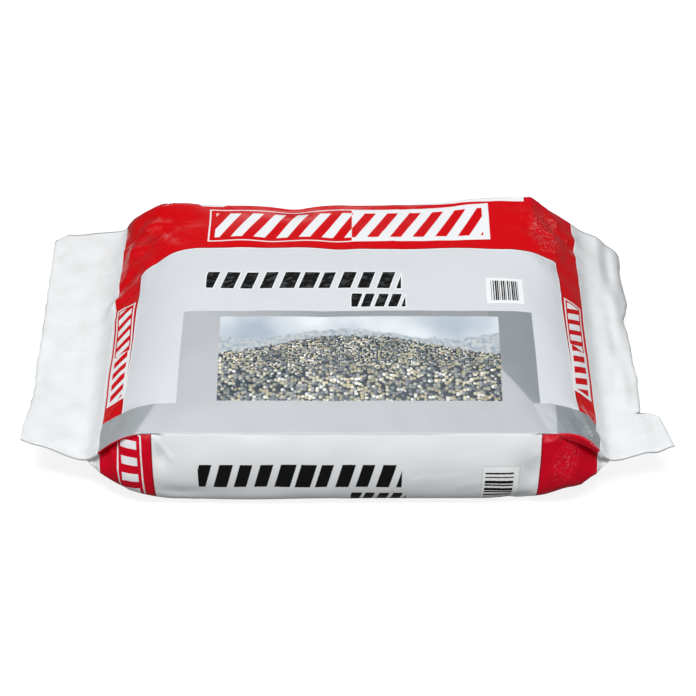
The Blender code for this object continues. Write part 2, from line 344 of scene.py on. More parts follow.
def right_fin(out, across):
    """The outer strip is folded under, but for a tab at the front, which ends in a slanted edge."""
    y = fin_y(out, across)
    film = FIN * out
    curls = smoothstep(HANGING_FROM - HANGING_BLEND, HANGING_FROM + HANGING_BLEND, y)
    backward = smoothstep(0.0, FIN_BACK_HALF_WIDTH, y)
    edge = mix(CURL_AT, CURL_AT_BACK, backward) + edge_waves(y, RIGHT_EDGE)
    turn = np.clip((film - edge) / CURL_RADIUS, 0.0, math.pi)
    back = np.clip(film - edge - math.pi * CURL_RADIUS, 0.0, None)
    curled = np.minimum(film, edge) + CURL_RADIUS * np.sin(turn) - back
    tab = out * np.interp(-y, TAB_PLACES, TAB_REACHES)
    reach = mix(tab, curled, curls)
    under = -CURL_RADIUS * (1.0 - np.cos(turn)) * curls
    drop = mix(DROOP_MIDDLE, DROOP_BACK, backward) * smoothstep(HANGING_FROM, DROOP_FULL_AT, y)
    droop = drop * (np.clip(reach, 0.0, None) / DROOP_OVER) ** DROOP_POWER
    soft = 0.0012 * waves(reach * 1.6, y * 0.3, 0.030, 23)
    crinkle = 0.0005 * crumple(reach, y * 0.5, 0.026, 24)
    ripple = (soft + crinkle) * smoothstep(0.0, 0.024, reach)
    lift = corner_lift(RIGHT_CORNER_LIFT, out, y)
    return ROOT_X + reach, y, FIN_HEIGHT + lift - droop + under + ripple


def film_across(b):
    """Where a column lies across a flattened fin, from 1 at the back edge to -1 at the front edge."""
    half = PANEL / 2
    front = b - PANEL
    under = front - GUSSET
    back = ROUND - b
    tucked_front = -half + np.minimum(front, GUSSET - front)
    tucked_back = half - np.minimum(back, GUSSET - back)
    at = np.where(b < PANEL, half - b, np.where(front < GUSSET, tucked_front, -half + under))
    return np.where(under > PANEL, tucked_back, at) / half


def lay_fins(a):
    across = film_across(columns()[:COLUMNS])[None, :]
    out = ((abs(a) - BODY_HALF) / FIN)[:, None]
    fins = [np.stack(np.broadcast_arrays(*fin(out, across)), axis=2) for fin in (left_fin, right_fin)]
    return np.where((a < 0)[:, None, None], *fins)


def ply_offsets():
    """How far each column lies above the middle of a fin."""
    plies = np.full(COLUMNS, 1.5)
    half = GUSSET_COLUMNS // 2
    plies[FRONT_CREASE + 1:FRONT_CREASE + half + 1] = 0.5
    plies[FRONT_CREASE + half + 1:FRONT_FOOT] = -0.5
    plies[FRONT_FOOT:BACK_FOOT + 1] = -1.5
    plies[BACK_FOOT + 1:BACK_FOOT + half] = -0.5
    plies[BACK_FOOT + half:] = 0.5
    return plies * PLY_GAP


def normals_of(places):
    """Outward normal of the tube at each place."""
    along = np.gradient(places, axis=0)
    around = np.roll(places, -1, axis=1) - np.roll(places, 1, axis=1)
    return unit(np.cross(around, along))


def stack_plies(places, a):
    """Lays every ply of a fin parallel to its top ply."""
    across = film_across(columns()[:COLUMNS])
    top = slice(0, FRONT_CREASE + 1)
    order = np.argsort(across[top])
    offset = ply_offsets()
    for i in np.flatnonzero(abs(a) > BODY_HALF - 1e-9):
        line = places[i, top]
        ahead = 1 if i + 1 < len(a) else -1
        along = (places[i + ahead, top] - line) * ahead
        normal = unit(np.cross(along, -np.gradient(line, axis=0)))
        for k in range(3):
            base = np.interp(across, across[top][order], line[order, k])
            up = np.interp(across, across[top][order], normal[order, k])
            places[i, :, k] = base + up * (offset - offset[0])
    return places


# Letting the film settle

def relax(places, a, mixed):
    """Moves the film until its lengths are those of the flat film, with the mix pushing from inside."""
    step_a = steps(mixed) * EASE_ALONG
    step_b = np.linalg.norm(np.roll(mixed, -1, axis=1) - mixed, axis=2) * EASE_ROUND
    normal = normals_of(mixed)
    inside_hold = np.full(places.shape[:2], HOLD_IN)
    outside_hold = np.full(places.shape[:2], HOLD_OUT)
    outside_hold[:, FRONT_FOOT + 1:BACK_FOOT] = FLOOR_HOLD
    fin = abs(a) > BODY_HALF - FIN_HOLD_BEFORE
    inside_hold[fin] = FIN_HOLD
    outside_hold[fin] = FIN_HOLD
    every_row = np.arange(len(a))
    every_column = np.arange(COLUMNS)

    def pull(i, j, along, around, rest, stretch, squeeze):
        """Draws the points of rows i and columns j and their neighbours together or apart."""
        first = np.ix_(i, j)
        second = np.ix_(i + along, (j + around) % COLUMNS)
        span = places[second] - places[first]
        length = np.linalg.norm(span, axis=2)
        off = length - rest
        share = np.where(off > 0, stretch, squeeze) * off / np.maximum(length, 1e-9) * 0.5
        move = span * share[..., None]
        places[first] += move
        places[second] -= move

    for _ in range(RELAX_STEPS):
        for start in (0, 1):
            i = every_row[start:-1:2]
            pull(i, every_column, 1, 0, step_a[i], STRETCH, SQUEEZE)
        for start in (0, 1):
            j = every_column[start::2]
            pull(every_row, j, 0, 1, step_b[:, j], STRETCH, SQUEEZE)
        for lean in (1, -1):
            for start in (0, 1):
                i = every_row[start:-1:2]
                over = (every_column + lean) % COLUMNS
                rest = np.linalg.norm(mixed[i + 1][:, over] - mixed[i], axis=2)
                pull(i, every_column, 1, lean, rest, SHEAR, SHEAR)
        smooth = places[2:] + places[:-2] - 2.0 * places[1:-1]
        places[1:-1] += 0.25 * BEND * smooth
        smooth = np.roll(places, 1, axis=1) + np.roll(places, -1, axis=1) - 2.0 * places
        smooth[:, [0, FRONT_CREASE, FRONT_FOOT, BACK_FOOT]] = 0.0
        places += 0.25 * BEND * smooth
        off = mixed - places
        depth = (off * normal).sum(axis=2)
        along = off - depth[..., None] * normal
        hold = np.where(depth > 0, inside_hold, outside_hold)
        places += (hold * depth)[..., None] * normal + HOLD_ALONG * along
        places[..., 2] = np.maximum(places[..., 2], 0.0)
    return places


# Lumps, dents and folds: heights along the film's outward normal, all in millimetres

# Along the back: height, place and size each way
BACK_LUMPS = (
    (1.6, (-112, 55), (18, 30)), (-1.6, (-84, 55), (14, 30)),
    (1.6, (-42, 60), (20, 30)), (-1.6, (-16, 60), (15, 32)),
    (-4.5, (-60, 4), (26, 16)), (3, (-185, 4), (22, 20)),
)
# On the front gusset, with b from its top crease down
GUSSET_LUMPS = (
    (-3.6, (-184, 24), (7, 12)), (-5, (180, 45), (12, 20)),
    (-4, (212, 88), (14, 10)), (-2, (-165, 66), (30, 8)),
    (1.4, (-100, 78), (50, 10)), (-3.4, (170, 78), (20, 10)),
)
# Folds there: height, start, end, width and how much of it is a step
GUSSET_FOLDS = (
    (3.4, (-188, 4), (-171, 30), 2.8, 0.5), (1, (-196, 68), (-150, 74), 3, 0.5),
    (2.2, (158, 94), (192, 66), 3.4, 0.7), (3.6, (196, 40), (244, 98), 5, 0.3),
    (3, (186, 14), (238, 10), 4, 0.2), (1.8, (-250, 26), (-214, 90), 4, 0.4),
    (-1.8, (-236, 22), (-222, 60), 3.6, 0.2), (1.6, (200, 14), (216, 70), 3.6, 0.5),
)
# Folds where the silver band bends down towards the fins
SILVER_FOLDS = (
    (1.6, (-209, 332), (-182, 276), 8, 0.0), (-1, (-240, 312), (-226, 300), 3, 0.5),
    (-1.2, (176, 284), (197, 332), 3, 0.0), (1.4, (192, 284), (214, 332), 3.4, 0.0),
    (-1.2, (222, 290), (246, 322), 3.6, 0.4),
)
# Crumpled corners: strength, place and size each way
CRUMPLED = (
    (1.0, (-228, 45), (36, 55)), (1.0, (222, 40), (34, 48)),
    (0.8, (-248, 115), (18, 35)), (0.7, (-244, 305), (26, 22)),
    (0.7, (242, 303), (28, 24)),
)
# Height, length, seed and count of the crumples' facets
BROAD_CRUMPLES = (2.4, 36, 21, 7)
FINE_CRUMPLES = (2.6, 34, 26, 4)
# Groups of short creases: centre, spread each way and how many
CREASE_GROUPS = (
    ((-225, 45), (30, 45), 16), ((222, 40), (28, 40), 14),
    ((-240, 200), (12, 110), 12), ((240, 200), (12, 110), 10),
    ((-235, 310), (24, 20), 10), ((232, 308), (26, 22), 12),
    ((-225, 372), (24, 30), 8), ((222, 372), (24, 30), 9),
    ((0, 20), (180, 25), 14), ((0, 395), (200, 20), 10),
)
CREASE_HALF_LENGTHS = (6, 22)
CREASE_HEIGHTS = (0.4, 1.1)
CREASE_WIDTHS = (2.8, 4.6)
CREASE_SEED = 31
# Slight lumps all over: height, length and seed
ALL_OVER = ((0.3, 75, 3), (0.12, 34, 4))
LUMPS_RISE = (4, 30)  # heights above the floor between which they grow
LUMPS_END = 20  # how far before a fin they fade
FORMS_END = 10  # and how far before it all the other forms do
CREST_WIDTHS = (5, 4)  # of the front and back top creases, which small forms keep off
CREST_KEEPS_OFF = 0.9


def spot(a, b, place, size):
    """A smooth spot of height 1 at a place of the film, of that size each way."""
    return np.exp(-((a - place[0]) / size[0]) ** 2 - ((b - place[1]) / size[1]) ** 2)


def spots(a, b, listed):
    return sum(height * spot(a, b, place, size) for height, place, size in listed)


def crease(a, b, start, end, width, shape=0.0):
    """A ridge of height 1 from start to end, which fades out at both; with shape 1 it is a step."""
    run = (end[0] - start[0], end[1] - start[1])
    length = math.hypot(*run)
    along = ((a - start[0]) * run[0] + (b - start[1]) * run[1]) / length ** 2
    aside = ((b - start[1]) * run[0] - (a - start[0]) * run[1]) / length
    fade = np.clip(4.0 * along * (1.0 - along), 0.0, None) ** 0.7
    ridge = np.exp(-abs(aside) / width)
    step = ridge * np.sign(aside) * np.clip(abs(aside) / (0.9 * width), 0.0, 1.0)
    return fade * mix(ridge, step, shape)


def creases(a, b, listed):
    return sum(height * crease(a, b, *line) for height, *line in listed)


def crumple(a, b, length, seed, count=7):
    """Flat facets with sharp edges between them, as in film that was pushed together."""
    draw = np.random.default_rng(seed)
    bend = waves(a, b, 3.0 * length, seed + 50, 12) * 0.25 * length
    total = 0.0
    for _ in range(count):
        turn = draw.uniform(0.0, math.pi)
        number = 1.0 / (length * draw.uniform(0.8, 2.0))
        t = (a * math.cos(turn) + b * math.sin(turn) + bend) * number + draw.uniform()
        total = total + 4.0 * abs(t - np.floor(t) - 0.5) - 1.0
    return total / math.sqrt(count)


def corner_crumples(a, b, height, *pattern):
    return height * np.clip(spots(a, b, CRUMPLED), 0.0, 1.0) * crumple(a, b, *pattern)


def fine_creases(a, b):
    """Short creases that run in from the corners and across the ends, as handling leaves them."""
    draw = np.random.default_rng(CREASE_SEED)
    height = 0.0
    for centre, spread, count in CREASE_GROUPS:
        for _ in range(count):
            middle = draw.normal(centre, spread)
            turn = draw.uniform(0.0, math.pi)
            half = draw.uniform(*CREASE_HALF_LENGTHS)
            run = np.array((half * math.cos(turn), half * math.sin(turn)))
            tall = draw.uniform(*CREASE_HEIGHTS) * draw.choice((-1.0, 1.0))
            width = draw.uniform(*CREASE_WIDTHS)
            height = height + tall * crease(a, b, middle - run, middle + run, width, draw.uniform())
    return height


def from_back_crease(b):
    """b, but counted down from zero on the back gusset."""
    return np.where(b > ROUND_MM - GUSSET_MM, b - ROUND_MM, b)


def before_fins(a, reach):
    """1 on the body, falling to 0 at the fins over the last stretch before them."""
    return 1.0 - smoothstep(BODY_MM - reach, BODY_MM, abs(a))


def relief(a, b, places):
    """Height of the broad forms, which the film takes up as it settles."""
    b = from_back_crease(b)
    height = spots(a, b, BACK_LUMPS) + corner_crumples(a, b, *BROAD_CRUMPLES)
    free = smoothstep(*LUMPS_RISE, places[..., 2] * MM) * before_fins(a, LUMPS_END)
    lumps = sum(tall * waves(a, b, length, seed) for tall, length, seed in ALL_OVER)
    return height * before_fins(a, FORMS_END) + lumps * free


def fine_relief(a, b):
    """Height of the sharp small forms, which are laid on when the film has settled."""
    signed = from_back_crease(b)
    down = b - PANEL_MM
    height = fine_creases(a, signed) + corner_crumples(a, signed, *FINE_CRUMPLES)
    height = height + spots(a, down, GUSSET_LUMPS) + creases(a, down, GUSSET_FOLDS)
    height = height + creases(a, b, SILVER_FOLDS)
    front, back = CREST_WIDTHS
    crests = np.exp(-((signed - PANEL_MM) / front) ** 2) + np.exp(-(signed / back) ** 2)
    height = height * (1.0 - CREST_KEEPS_OFF * np.clip(crests, 0.0, 1.0))
    return height * before_fins(a, FORMS_END)


def soften_roots(places, a):
    """Rounds the bend where the body's film goes over into a fin."""
    share = 1.0 - smoothstep(ROOT_BEND / 2, ROOT_BEND, abs(abs(a) - BODY_HALF))
    share = share[1:-1, None, None]
    for _ in range(ROOT_ROUNDING):
        middle = (places[2:] + places[:-2]) / 2
        places[1:-1] = mix(places[1:-1], middle, 0.5 * share)
    return places


def film_places():
    a = rows()
    body = abs(a) <= BODY_HALF + 1e-9
    mixed = np.empty((len(a), COLUMNS, 3))
    mixed[body] = lay_body(a[body])
    mixed[~body] = lay_fins(a[~body])
    mixed = soften_roots(mixed, a)
    film_mm = (a[:, None] * MM, columns()[None, :COLUMNS] * MM)
    mixed += normals_of(mixed) * relief(*film_mm, mixed)[..., None] / MM
    nudge = np.random.default_rng(SEED).normal(0.0, NUDGE, mixed.shape)
    places = relax(mixed + nudge, a, mixed)
    places += normals_of(places) * fine_relief(*film_mm)[..., None] / MM
    places[..., 2] = np.maximum(places[..., 2], 0.0)
    return stack_plies(places, a), a


# The mesh

def new_object(name, data):
    thing = bpy.data.objects.new(name, data)
    bpy.context.scene.collection.objects.link(thing)
    return thing


def cap(row, upward):
    """Faces that close the tube along a fin's outer edge, where the plies are welded."""
    half = GUSSET_COLUMNS // 2
    per = PANEL_COLUMNS // BACK_COLUMNS
    tucked = half // per
    faces = []

    def run(start):
        return [start + n for n in range(per + 1)]

    for k in range(half):
        back_gusset = (COLUMNS - k) % COLUMNS
        faces.append([k, k + 1, COLUMNS - k - 1, back_gusset])
        left, right = FRONT_CREASE - k, FRONT_CREASE + k
        faces.append([left - 1, left, right, right + 1])
    for m in range(tucked):
        low = FRONT_FOOT + m
        high = FRONT_FOOT - per * m
        faces.append([low, low + 1] + run(high - per))
        low = BACK_FOOT - m
        high = BACK_FOOT + per * m
        faces.append([low - 1, low] + run(high))
    for m in range(tucked, BACK_COLUMNS - tucked):
        top = PANEL_COLUMNS - per * (m + 1)
        faces.append(run(top) + [FRONT_FOOT + m, FRONT_FOOT + m + 1])
    faces.append([half, BACK_FOOT - tucked, COLUMNS - half])
    faces.append([PANEL_COLUMNS - half, FRONT_CREASE + half, FRONT_FOOT + tucked])
    clean = []
    for face in faces:
        kept = [v for n, v in enumerate(face) if v != face[n - 1]]
        clean.append([row * COLUMNS + v for v in (kept if upward else kept[::-1])])
    return clean


def bend_of(places):
    """How sharply the film bends at each point, in 1/m: above zero on a ridge, below in a valley."""
    around = np.roll(places, -1, axis=1) + np.roll(places, 1, axis=1) - 2.0 * places
    along = np.zeros_like(places)
    along[1:-1] = places[2:] + places[:-2] - 2.0 * places[1:-1]
    bend = -((around + along) / COLUMN ** 2 * normals_of(places)).sum(axis=2)
    for _ in range(2):
        bend = (bend + np.roll(bend, 1, axis=1) + np.roll(bend, -1, axis=1)) / 3
        bend[1:-1] = (bend[1:-1] + bend[2:] + bend[:-2]) / 3
    return bend


MAP_ALONG = (0.004, 0.056, 0.944, 0.996)  # where the film's edges and fin roots lie on the map
MAP_ROUND = (0.004, 0.538, 0.709, 0.896, 0.996)  # and its creases


def map_place(a, b):
    """Where a point of the film goes on a square map: the fins and the hidden sides get less room."""
    edges_a = (-BODY_HALF - FIN, -BODY_HALF, BODY_HALF, BODY_HALF + FIN)
    edges_b = np.cumsum((0.0, PANEL, GUSSET, PANEL, GUSSET))
    return np.interp(a, edges_a, MAP_ALONG), np.interp(b, edges_b, MAP_ROUND)


def build_film(places, a):
    b = columns()
    last = len(a) - 1
    corners = [((i, j), (i, j + 1), (i + 1, j + 1), (i + 1, j)) for i in range(last) for j in range(COLUMNS)]
    quads = [[i * COLUMNS + j % COLUMNS for i, j in face] for face in corners]
    caps = cap(0, False) + cap(last, True)
    mesh = bpy.data.meshes.new("printed_sack")
    mesh.from_pydata(places.reshape(-1, 3).tolist(), [], quads + caps)
    uv = np.zeros((len(mesh.loops), 2))
    uv[:4 * len(quads)] = [(a[i], b[j]) for face in corners for i, j in face]
    loops = np.empty(len(mesh.loops), int)
    mesh.loops.foreach_get("vertex_index", loops)
    rest = loops[4 * len(quads):]
    uv[4 * len(quads):, 0] = a[rest // COLUMNS]
    uv[4 * len(quads):, 1] = b[rest % COLUMNS]
    for name, spread in (("film", uv), ("OFBake", np.stack(map_place(*uv.T), axis=1))):
        mesh.uv_layers.new(name=name).data.foreach_set("uv", spread.ravel())
    bend = mesh.attributes.new("bend", "FLOAT", "POINT")
    bend.data.foreach_set("value", bend_of(places).ravel())
    mesh.shade_smooth()
    mesh.validate()
    return new_object("printed_sack", mesh)


# Shader nodes as sums

def worked(operation):
    def method(self, *others):
        return self.work(operation, *others)
    return method


class Field:
    """A number, place or colour at each point of the surface, worked out by shader nodes."""

    def __init__(self, tree, socket):
        self.tree = tree
        self.socket = socket

    def work(self, operation, *others, clamp=False):
        node = self.tree.nodes.new("ShaderNodeMath")
        node.operation = operation
        node.use_clamp = clamp
        feed(node, dict(enumerate((self,) + others)))
        return Field(self.tree, node.outputs[0])

    __add__ = __radd__ = worked("ADD")
    __sub__ = worked("SUBTRACT")
    __mul__ = worked("MULTIPLY")
    __truediv__ = worked("DIVIDE")
    __abs__ = worked("ABSOLUTE")
    least = worked("MINIMUM")
    most = worked("MAXIMUM")
    whole = worked("FLOOR")
    part = worked("FRACT")
    sine = worked("SINE")

    def __rsub__(self, other):
        return self.work("MULTIPLY_ADD", -1.0, other)

    def ramp(self, low, high):
        """0 up to low, 1 from high on, and straight between them."""
        span = high - low
        return self.work("MULTIPLY_ADD", 1.0 / span, -low / span, clamp=True)

    def above(self, edge, soft=0.5):
        return self.ramp(edge - soft / 2, edge + soft / 2)

    def below(self, edge, soft=0.5):
        return self.ramp(edge + soft / 2, edge - soft / 2)

    def within(self, low, high, soft=0.5):
        return self.above(low, soft).least(self.below(high, soft))

    def scatter(self, seed):
        """A random number from 0 to 1 for each whole number."""
        return ((self * 12.9898 + seed).sine() * 4375.85453).part()


def feed(node, values):
    """Sets or links a node's inputs, by their names or numbers."""
    for name, value in values.items():
        slot = node.inputs[name]
        if isinstance(value, Field):
            value.tree.links.new(value.socket, slot)
        else:
            slot.default_value = value


def within_box(x, y, box, soft=0.5):
    """1 in the box (low x, high x, low y, high y)."""
    return x.within(box[0], box[1], soft).least(y.within(box[2], box[3], soft))


def grown(box, by):
    return (box[0] - by, box[1] + by, box[2] - by, box[3] + by)


def paint(base, top, mask):
    """The base colour with the top colour over it where the mask is 1."""
    node = mask.tree.nodes.new("ShaderNodeMix")
    node.data_type = "RGBA"
    feed(node, {"Factor": mask, 6: base, 7: top})
    return Field(mask.tree, node.outputs[2])


def point(x, y):
    node = x.tree.nodes.new("ShaderNodeCombineXYZ")
    feed(node, {0: x, 1: y})
    return Field(x.tree, node.outputs[0])


def noise(place, scale, detail=2.0, roughness=0.5, distortion=0.0):
    node = place.tree.nodes.new("ShaderNodeTexNoise")
    feed(node, {"Vector": place, "Scale": scale, "Detail": detail, "Roughness": roughness,
                "Distortion": distortion})
    return Field(place.tree, node.outputs[0])


def cells(place, scale, feature="F1"):
    node = place.tree.nodes.new("ShaderNodeTexVoronoi")
    node.voronoi_dimensions = "2D"
    node.feature = feature
    feed(node, {"Vector": place, "Scale": scale})
    return node.outputs


def colour(red, green, blue):
    """A colour given as on a screen, from 0 to 255."""
    parts = [v / 255.0 for v in (red, green, blue)]
    return tuple(v / 12.92 if v < 0.04045 else ((v + 0.055) / 1.055) ** 2.4 for v in parts) + (1.0,)


# The print, in millimetres along the sack (x) and round the tube (y)

RED = colour(202, 0, 10)
CRIMSON = colour(203, 0, 32)
DEEP_RED = colour(150, 4, 12)
WHITE = colour(232, 234, 236)
BRIGHT = colour(244, 246, 247)
PAPER_GREY = colour(208, 212, 217)
SILVER = colour(180, 184, 188)
DARK_SILVER = colour(140, 146, 150)
BLACK = colour(14, 15, 16)
LINE_GREY = colour(120, 124, 128)
MILKY = colour(227, 230, 232)
MILKY_SHADE = colour(213, 215, 214)
# grey for dust and painted shade in the film's valleys
DUST_AND_SHADE = colour(90, 88, 88)
GAP_GREY = colour(46, 54, 60)

PRINT_HALF = 256.0
KEYLINE = 1.3
HALO = 1.1
# Where the print ends earlier at the right and left: from y, to y, softness, and by how much
RIGHT_CUT = (PANEL_MM, PANEL_MM + 60.0, 6.0, 4.5)
LEFT_CUT = (120.0, PANEL_MM, 20.0, 2.5)

# The pale field. Its upper edge falls by so much from the first x to the second
FIELD_HALF = 221.5
FIELD_FROM = 79.5
FIELD_NARROWS = (150.0, 0.033)
FIELD_CORNERS = ((-155.0, -224.0, 26.0), (170.0, 226.0, 4.0))
FIELD_STEPS = ((-60.0, 0.0, 2.0), (110.0, 160.0, 2.8))

# The silver box and band, and where their silver is darker: painted shade where they turn away towards the
# fins, and a strip above the picture that darkens towards the right
SILVER_FROM = 292.0
SILVER_BOX = (-168.0, 185.0, 174.0, 300.0)
SILVER_WIDENS = (1.024, 0.00012)
SHADED_BOX_SLANT = (1.33, 52.0)
SHADED_BOX_FROM = 140.0
SHADED_BAND_FROM = 202.0
DARKER_TOP_STRIP = (-150.0, -20.0, 0.8)
SHADED_BAND_END = (0.5, 44.0, 0.5)

# Boxes: low x, high x, low y, high y
PICTURE = (-130.0, 150.0, 182.0, 290.0)
STRIPED_BOX = (-150.0, 148.0, 9.0, 67.0)
STRIPES_SWAP_AT = 2.0
END_MARKS = ((-251.0, -226.0, 138.0, 272.0), (226.0, 252.0, 135.0, 264.0))
END_MARK_PITCH = 15.0
SIDE_MARK = (-230.0, -202.0, 10.0, 98.0)
TOP_LABEL = (140.0, 178.0, 126.0, 163.0)
SIDE_LABEL = (131.0, 167.0, 35.0, 90.0)
SIDE_BARS = (133.5, 161.5, 39.0, 88.0)
LINES_BOX = (-150.0, 150.0, 480.0, 700.0)
LINE_PITCH = 16.0
# Rows of slanted blocks: box, pitch and seed
TOP_ROWS = (((-147.0, 53.0, 117.0, 141.0), 20.0, 1.0), ((2.0, 57.0, 149.0, 168.0), 13.7, 5.0))
SIDE_ROWS = (((-148.0, 52.0, 33.0, 59.0), 20.0, 1.0), ((2.0, 57.0, 67.0, 86.0), 13.7, 5.0))
BLOCK_SLANT = 0.28

# The sides
SIDE_WHITE_HALF = 188.0
SIDE_SHIFT = 2.5
# painted shade: the gusset's white greys towards its foot, between these millimetres down from its top
# crease, by up to this share
SIDE_PAINTED_SHADE = (20.0, 95.0, 0.2)
UNDER_HALF = 224.0
TURN_AT = 0.69  # share of the way round where the front's sides give way to the back's
BAND_SHORT = (198.0, 232.0, 4.0)  # x between which the silver band falls short of the crease
BAND_OVER = (-115.0, 90.0, 30.0, 1.3)  # and where it runs over the crease
SLIVER = (20.0, 150.0, 8.0)  # white of the back gusset that shows past the back crease
LEFT_SLIVER = (-162.0, -132.0, 8.0, 5.0)
SLIVER_KEEPS = 2.0

# Stones, by share of their number
STONES = ((0.0, (66, 76, 84)), (0.14, (118, 126, 130)), (0.34, (156, 162, 162)),
          (0.56, (190, 182, 152)), (0.76, (222, 216, 192)), (0.90, (244, 243, 236)))
# Uneven skylines: level, waves, start of the waves, their height, scale of the roughness, its height
FAR_HILLS = (0.22, 9.0, 0.6, 0.06, 0.09, 0.10)
HEAP = (0.36, 5.2, 2.2, 0.12, 0.16, 0.12)


def slanted_blocks(x, y, box, pitch, seed, halo=0.0):
    """A row of slanted blocks of uneven widths."""
    share = halo / pitch
    along = (x + (y - box[2]) * BLOCK_SLANT - box[0]) / pitch
    fill = along.whole().scatter(seed) * 0.2 + 0.66 + share
    block = along.part().above(0.08 - share, 0.03).least((fill - along.part()).above(0.0, 0.03))
    return block.least(within_box(x, y, grown(box, halo)))


def block_rows(base, x, y, listed, ink):
    for box, pitch, seed in listed:
        base = paint(base, WHITE, slanted_blocks(x, y, box, pitch, seed, HALO))
        base = paint(base, ink, slanted_blocks(x, y, box, pitch, seed))
    return base


def bars(across, pitch, seed):
    """The bars of a bar code, with widths that stand for nothing."""
    count = across / pitch
    wide = count.whole().scatter(seed) * 0.7 + 0.15
    return (wide - count.part()).above(0.0, 0.12)


def stripes(x, y, pitch, slant):
    return ((x + y * slant) / pitch).part().within(0.0, 0.5, 0.02)


def nested(base, x, y, box, layers):
    """A box filled with one ink after another, each drawn in from the box's edge by its margin."""
    for margin, ink in layers:
        base = paint(base, ink, within_box(x, y, grown(box, -margin)))
    return base


def red_and_white(marks, swapped):
    """Red with white marks, or white with red marks where swapped is 1."""
    return paint(paint(RED, WHITE, marks), paint(WHITE, RED, marks), swapped)


def pebbles(place, scale):
    """Rounded stones, each of its own colour, with dark gaps between them."""
    cell = cells(place, scale)
    parts = place.tree.nodes.new("ShaderNodeSeparateColor")
    feed(parts, {0: Field(place.tree, cell["Color"])})
    ramp = place.tree.nodes.new("ShaderNodeValToRGB")
    feed(ramp, {0: Field(place.tree, parts.outputs[0])})
    stops = ramp.color_ramp.elements
    while len(stops) < len(STONES):
        stops.new(0.5)
    for stop, (at, shade) in zip(stops, STONES):
        stop.position = at
        stop.color = colour(*shade)
    ramp.color_ramp.interpolation = "CONSTANT"
    gap = Field(place.tree, cell["Distance"]).ramp(0.42, 0.68)
    return paint(Field(place.tree, ramp.outputs[0]), GAP_GREY, gap)


def skyline(place, u, level, number, start, tall, scale, rough):
    return level + (u * number + start).sine() * tall + (noise(place, scale, 3.0) - 0.5) * rough


def picture(x, y):
    """A grading of washed stone from coarse to fine, heaped under a pale sky."""
    u = (x - PICTURE[0]) / (PICTURE[1] - PICTURE[0])
    v = (y - PICTURE[2]) / (PICTURE[3] - PICTURE[2])
    place = point(x, y)
    clouds = noise(place, 0.012).ramp(0.35, 0.7)
    sky = paint(colour(230, 234, 237), colour(150, 166, 182), clouds)
    coarse = (v + noise(place, 0.05) * 0.5).ramp(0.85, 0.9)
    stones = paint(pebbles(place, 0.50), pebbles(place, 0.29), coarse)
    shade = noise(place, 0.035, 3.0).ramp(0.35, 0.62)
    stones = paint(colour(62, 74, 86), stones, shade * 0.5 + 0.5)
    haze = noise(place, 0.22, 3.0).ramp(0.35, 0.65)
    hills = paint(colour(150, 164, 178), colour(196, 200, 200), haze)
    sky = paint(sky, hills, (v - skyline(place, u, *FAR_HILLS)).above(0.0, 0.02))
    return paint(sky, stones, (v - skyline(place, u, *HEAP)).above(0.0, 0.015))


def pale_field(x, y):
    """Red film with the pale field, which has a white and a dark keyline."""
    from_top = y - FIELD_FROM
    for low, high, fall in FIELD_CORNERS:
        corner = x.ramp(low, high)
        from_top = from_top - corner * corner * fall
    for step in FIELD_STEPS:
        from_top = from_top - rise(x, *step)
    aside = abs(x) - (y - FIELD_NARROWS[0]) * FIELD_NARROWS[1]
    face = RED
    for lines, ink in ((2, DEEP_RED), (1, WHITE), (0, PAPER_GREY)):
        more = lines * KEYLINE
        face = paint(face, ink, aside.below(FIELD_HALF + more).least(from_top.above(-more)))
    return face


def silver_ink(x, y):
    """Where the silver is printed, and its colour: painted darker as shade where the box and band turn away
    towards the ends, and darker to the right on the strip above the picture.
    """
    widened = x * (SILVER_WIDENS[0] - y * SILVER_WIDENS[1])
    band = y.above(SILVER_FROM)
    silver = band.most(within_box(widened, y, SILVER_BOX))
    # painted shade on the right of the box and band, where they turn away towards the end
    slant, edge = SHADED_BOX_SLANT
    darkened = (y - x * slant).below(edge, 4.0).least(x.above(SHADED_BOX_FROM)).least(y.below(SILVER_FROM))
    darkened = darkened.most(x.above(SHADED_BAND_FROM, 2.0).least(band))
    # the strip above the picture, darker towards the right
    low, high, most = DARKER_TOP_STRIP
    darkened = darkened.most(y.below(PICTURE[2]).least(x.ramp(low, high)) * most)
    # painted shade on the band's left end, which bends down and away
    slant, edge, most = SHADED_BAND_END
    darkened = darkened.most((x * -1.0 - y * slant).above(edge, 3.0).least(band) * most)
    return silver, paint(SILVER, DARK_SILVER, darkened)


def top_print(x, y):
    """The front panel's colour, and where it is silver."""
    silver, ink = silver_ink(x, y)
    face = paint(pale_field(x, y), ink, silver)
    swapped = x.above(STRIPES_SWAP_AT)
    striped = red_and_white(stripes(x, y, 24.0, 0.5), swapped)
    layers = ((0.0, WHITE), (1.6, paint(RED, WHITE, swapped)), (7.0, striped))
    face = nested(face, x, y, STRIPED_BOX, layers)
    marks = ((y + x * 0.5) / END_MARK_PITCH).part().below(0.56, 0.03)
    for box in END_MARKS:
        lower = y.above((box[2] + box[3]) / 2.0)
        layers = ((0.0, WHITE), (1.9, paint(RED, WHITE, lower)), (3.8, red_and_white(marks, lower)))
        face = nested(face, x, y, box, layers)
    # painted reflection: grey streaks in the black rows stand in for lights mirrored by the film's ripples
    painted_glare = noise(point(x * 0.5, y + x * 0.2), 0.22, 3.0, 0.6).ramp(0.50, 0.70)
    face = block_rows(face, x, y, TOP_ROWS, paint(BLACK, PAPER_GREY, painted_glare * 0.10))
    face = paint(face, WHITE, within_box(x, y, TOP_LABEL))
    code = bars(x, 2.1, 3.0).least(within_box(x, y, grown(TOP_LABEL, -4.0)))
    face = paint(face, BLACK, code)
    inside = within_box(x, y, PICTURE)
    return paint(face, picture(x, y), inside), silver * (1.0 - inside)


